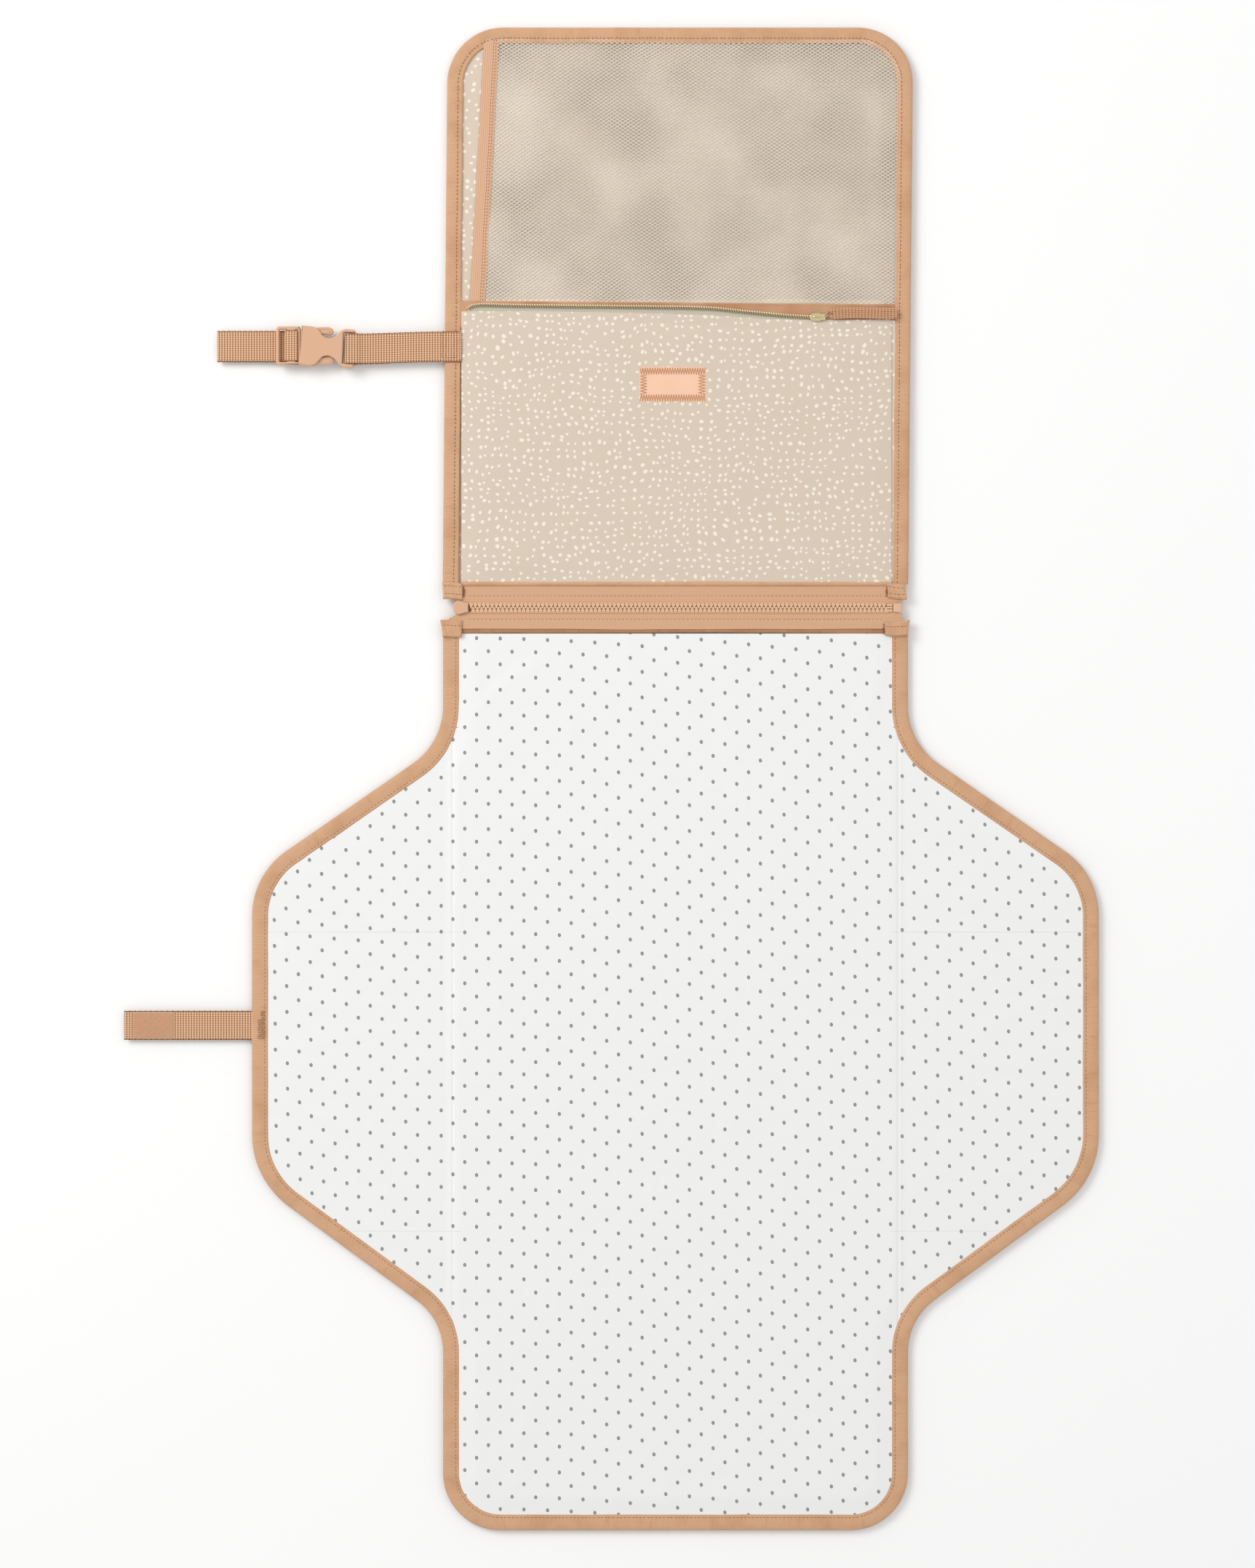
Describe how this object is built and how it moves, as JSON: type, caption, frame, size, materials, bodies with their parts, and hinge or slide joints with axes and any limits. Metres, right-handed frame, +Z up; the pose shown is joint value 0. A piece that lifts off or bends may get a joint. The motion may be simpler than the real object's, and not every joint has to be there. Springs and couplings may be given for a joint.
{
  "type": "folding changing pad",
  "caption": "Flat folding changing pad with side wings, zipped to a two-leaf clutch with a net pocket, a zip pocket, a buckle strap and a hook strap.",
  "frame": {"origin": "middle of the pad's underside, on the face it lies on", "axes": "+Z up out of the pad's wiping face, +Y from the pad towards the clutch, +X to the right seen from above"},
  "size_m": [0.6303, 0.9719, 0.0074],
  "materials": {
    "grosgrain": "ribbed tan grosgrain binding, matte",
    "webbing": "woven tan webbing, matte",
    "peva_sheet": "white wipe-clean film with soft sheen and small grey dots",
    "foam": "thin closed-cell padding",
    "dotted_fabric": "beige woven fabric with irregular off-white dots",
    "mesh": "white knitted net",
    "zip_tape": "khaki woven zip tape",
    "coil": "pale coil",
    "teeth": "moulded tan teeth",
    "moulded": "smooth moulded tan plastic",
    "slider_metal": "pale gold plated metal",
    "patch": "plain peach woven patch with a zigzag border",
    "elastic": "ribbed elastic tape",
    "hook_tape": "hook fastener, fuzzy"
  },
  "bodies": {
    "clutch_base": {"base_outer_shell": "dotted_fabric", "base_padding": "foam", "base_lining": "dotted_fabric", "base_pocket_front": "dotted_fabric", "base_binding_left": "grosgrain", "base_binding_right": "grosgrain", "fold_tape": "grosgrain", "pocket_zip_tape": "zip_tape", "pocket_zip_coil": "coil", "pocket_patch": "patch", "zip_end_tab_left": "grosgrain", "zip_end_tab_right": "grosgrain", "zip_upper_tape": "grosgrain", "zip_upper_teeth": "teeth", "zip_box": "moulded", "strap_sewn_end": "webbing"},
    "clutch_flap": {"flap_outer_shell": "dotted_fabric", "flap_padding": "foam", "flap_lining": "dotted_fabric", "flap_mesh_pocket": "mesh", "flap_elastic": "elastic", "flap_binding": "grosgrain"},
    "pocket_slider": {"pocket_zip_slider": "slider_metal"},
    "pocket_pull": {"pocket_zip_pull": "grosgrain"},
    "strap": {"strap_webbing": "webbing", "buckle_female": "moulded"},
    "buckle_plug": {"buckle_male": "moulded", "loop_webbing": "webbing"},
    "prong_top": {"buckle_prong_top": "moulded"},
    "prong_bottom": {"buckle_prong_bottom": "moulded"},
    "zip_slider": {"zip_slider": "moulded"},
    "zip_pull": {"zip_slider_pull": "moulded"},
    "zip_lower": {"zip_lower_tape": "grosgrain", "zip_lower_teeth": "teeth"},
    "pad_upper": {"pad_upper_backing": "dotted_fabric", "pad_upper_foam": "foam", "pad_upper_top_sheet": "peva_sheet", "pad_head_binding_left": "grosgrain", "pad_head_binding_right": "grosgrain"},
    "pad_middle": {"pad_middle_backing": "dotted_fabric", "pad_middle_foam": "foam", "pad_middle_top_sheet": "peva_sheet"},
    "pad_lower": {"pad_lower_backing": "dotted_fabric", "pad_lower_foam": "foam", "pad_lower_top_sheet": "peva_sheet", "pad_foot_binding": "grosgrain"},
    "hook_strap": {"hook_strap_webbing": "webbing", "hook_strap_hook_patch": "hook_tape"},
    "left_wing_upper": {"left_wing_upper_panel": "peva_sheet", "left_wing_upper_binding": "grosgrain"},
    "left_wing_middle": {"left_wing_middle_panel": "peva_sheet", "left_wing_middle_binding": "grosgrain"},
    "left_wing_lower": {"left_wing_lower_panel": "peva_sheet", "left_wing_lower_binding": "grosgrain"},
    "right_wing_upper": {"right_wing_upper_panel": "peva_sheet", "right_wing_upper_binding": "grosgrain"},
    "right_wing_middle": {"right_wing_middle_panel": "peva_sheet", "right_wing_middle_binding": "grosgrain"},
    "right_wing_lower": {"right_wing_lower_panel": "peva_sheet", "right_wing_lower_binding": "grosgrain"}
  },
  "joints": [
    {"name": "clutch_fold", "type": "hinge", "parent": "clutch_base", "child": "clutch_flap", "pos_m": [0, 0.5, 0.018], "axis": [1, 0, 0], "range_deg": [0, 179.97]},
    {"name": "strap_swing", "type": "hinge", "parent": "clutch_base", "child": "strap", "pos_m": [-0.155, 0.4754, 0.0048], "axis": [0, 1, 0], "range_deg": [0, 90]},
    {"name": "buckle_release", "type": "slide", "parent": "strap", "child": "buckle_plug", "axis": [-1, 0, 0], "range_m": [0, 0.03]},
    {"name": "prong_squeeze_top", "type": "hinge", "parent": "buckle_plug", "child": "prong_top", "pos_m": [-0.2387, 0.4846, 0.0039], "axis": [0, 0, -1], "range_deg": [0, 5]},
    {"name": "prong_squeeze_bottom", "type": "hinge", "parent": "buckle_plug", "child": "prong_bottom", "pos_m": [-0.2387, 0.4662, 0.0039], "axis": [0, 0, 1], "range_deg": [0, 5]},
    {"name": "pocket_zip", "type": "slide", "parent": "clutch_base", "child": "pocket_slider", "axis": [-0.9998, 0.0202, 0], "range_m": [0, 0.215]},
    {"name": "pocket_pull_flip", "type": "hinge", "parent": "pocket_slider", "child": "pocket_pull", "pos_m": [0.0975, 0.497, 0.0058], "axis": [0, -1, 0], "range_deg": [0, 178]},
    {"name": "main_zip", "type": "slide", "parent": "clutch_base", "child": "zip_slider", "axis": [1, 0, 0], "range_m": [0, 0.269]},
    {"name": "main_pull_swing", "type": "hinge", "parent": "zip_slider", "child": "zip_pull", "pos_m": [-0.141, 0.3064, 0.0005], "axis": [0, 1, 0], "range_deg": [0, 150]},
    {"name": "pad_unzip", "type": "slide", "parent": "clutch_base", "child": "zip_lower", "axis": [0, -1, 0], "range_m": [0, 0.06]},
    {"name": "zip_fold", "type": "hinge", "parent": "zip_lower", "child": "pad_upper", "pos_m": [0, 0.2918, 0.01625], "axis": [-1, 0, 0], "range_deg": [0, 179.97]},
    {"name": "upper_fold", "type": "hinge", "parent": "pad_upper", "child": "pad_middle", "pos_m": [0, 0.0967, 0.0125], "axis": [-1, 0, 0], "range_deg": [0, 179.97]},
    {"name": "lower_fold", "type": "hinge", "parent": "pad_middle", "child": "pad_lower", "pos_m": [0, -0.0967, 0.00825], "axis": [-1, 0, 0], "range_deg": [0, 179.97]},
    {"name": "left_wing_fold", "type": "hinge", "parent": "pad_middle", "child": "left_wing_middle", "pos_m": [-0.144, 0, 0.004], "axis": [0, 1, 0], "range_deg": [0, 179.97]},
    {"name": "left_wing_fold_upper", "type": "hinge", "parent": "pad_upper", "child": "left_wing_upper", "pos_m": [-0.144, 0.163, 0.004], "axis": [0, 1, 0], "range_deg": [0, 179.97]},
    {"name": "left_wing_fold_lower", "type": "hinge", "parent": "pad_lower", "child": "left_wing_lower", "pos_m": [-0.144, -0.136, 0.004], "axis": [0, 1, 0], "range_deg": [0, 179.97]},
    {"name": "right_wing_fold", "type": "hinge", "parent": "pad_middle", "child": "right_wing_middle", "pos_m": [0.144, 0, 0.00275], "axis": [0, -1, 0], "range_deg": [0, 179.97]},
    {"name": "right_wing_fold_upper", "type": "hinge", "parent": "pad_upper", "child": "right_wing_upper", "pos_m": [0.144, 0.163, 0.00275], "axis": [0, -1, 0], "range_deg": [0, 179.97]},
    {"name": "right_wing_fold_lower", "type": "hinge", "parent": "pad_lower", "child": "right_wing_lower", "pos_m": [0.144, -0.136, 0.00275], "axis": [0, -1, 0], "range_deg": [0, 179.97]},
    {"name": "hook_strap_fold", "type": "hinge", "parent": "left_wing_middle", "child": "hook_strap", "pos_m": [-0.2743, 0.0364, 0.00225], "axis": [0, 1, 0], "range_deg": [0, 179.97]}
  ],
  "couplings": [
    {"joint": "left_wing_fold_upper", "follows": "left_wing_fold", "ratio": 1},
    {"joint": "left_wing_fold_lower", "follows": "left_wing_fold", "ratio": 1},
    {"joint": "right_wing_fold_upper", "follows": "right_wing_fold", "ratio": 1},
    {"joint": "right_wing_fold_lower", "follows": "right_wing_fold", "ratio": 1}
  ]
}
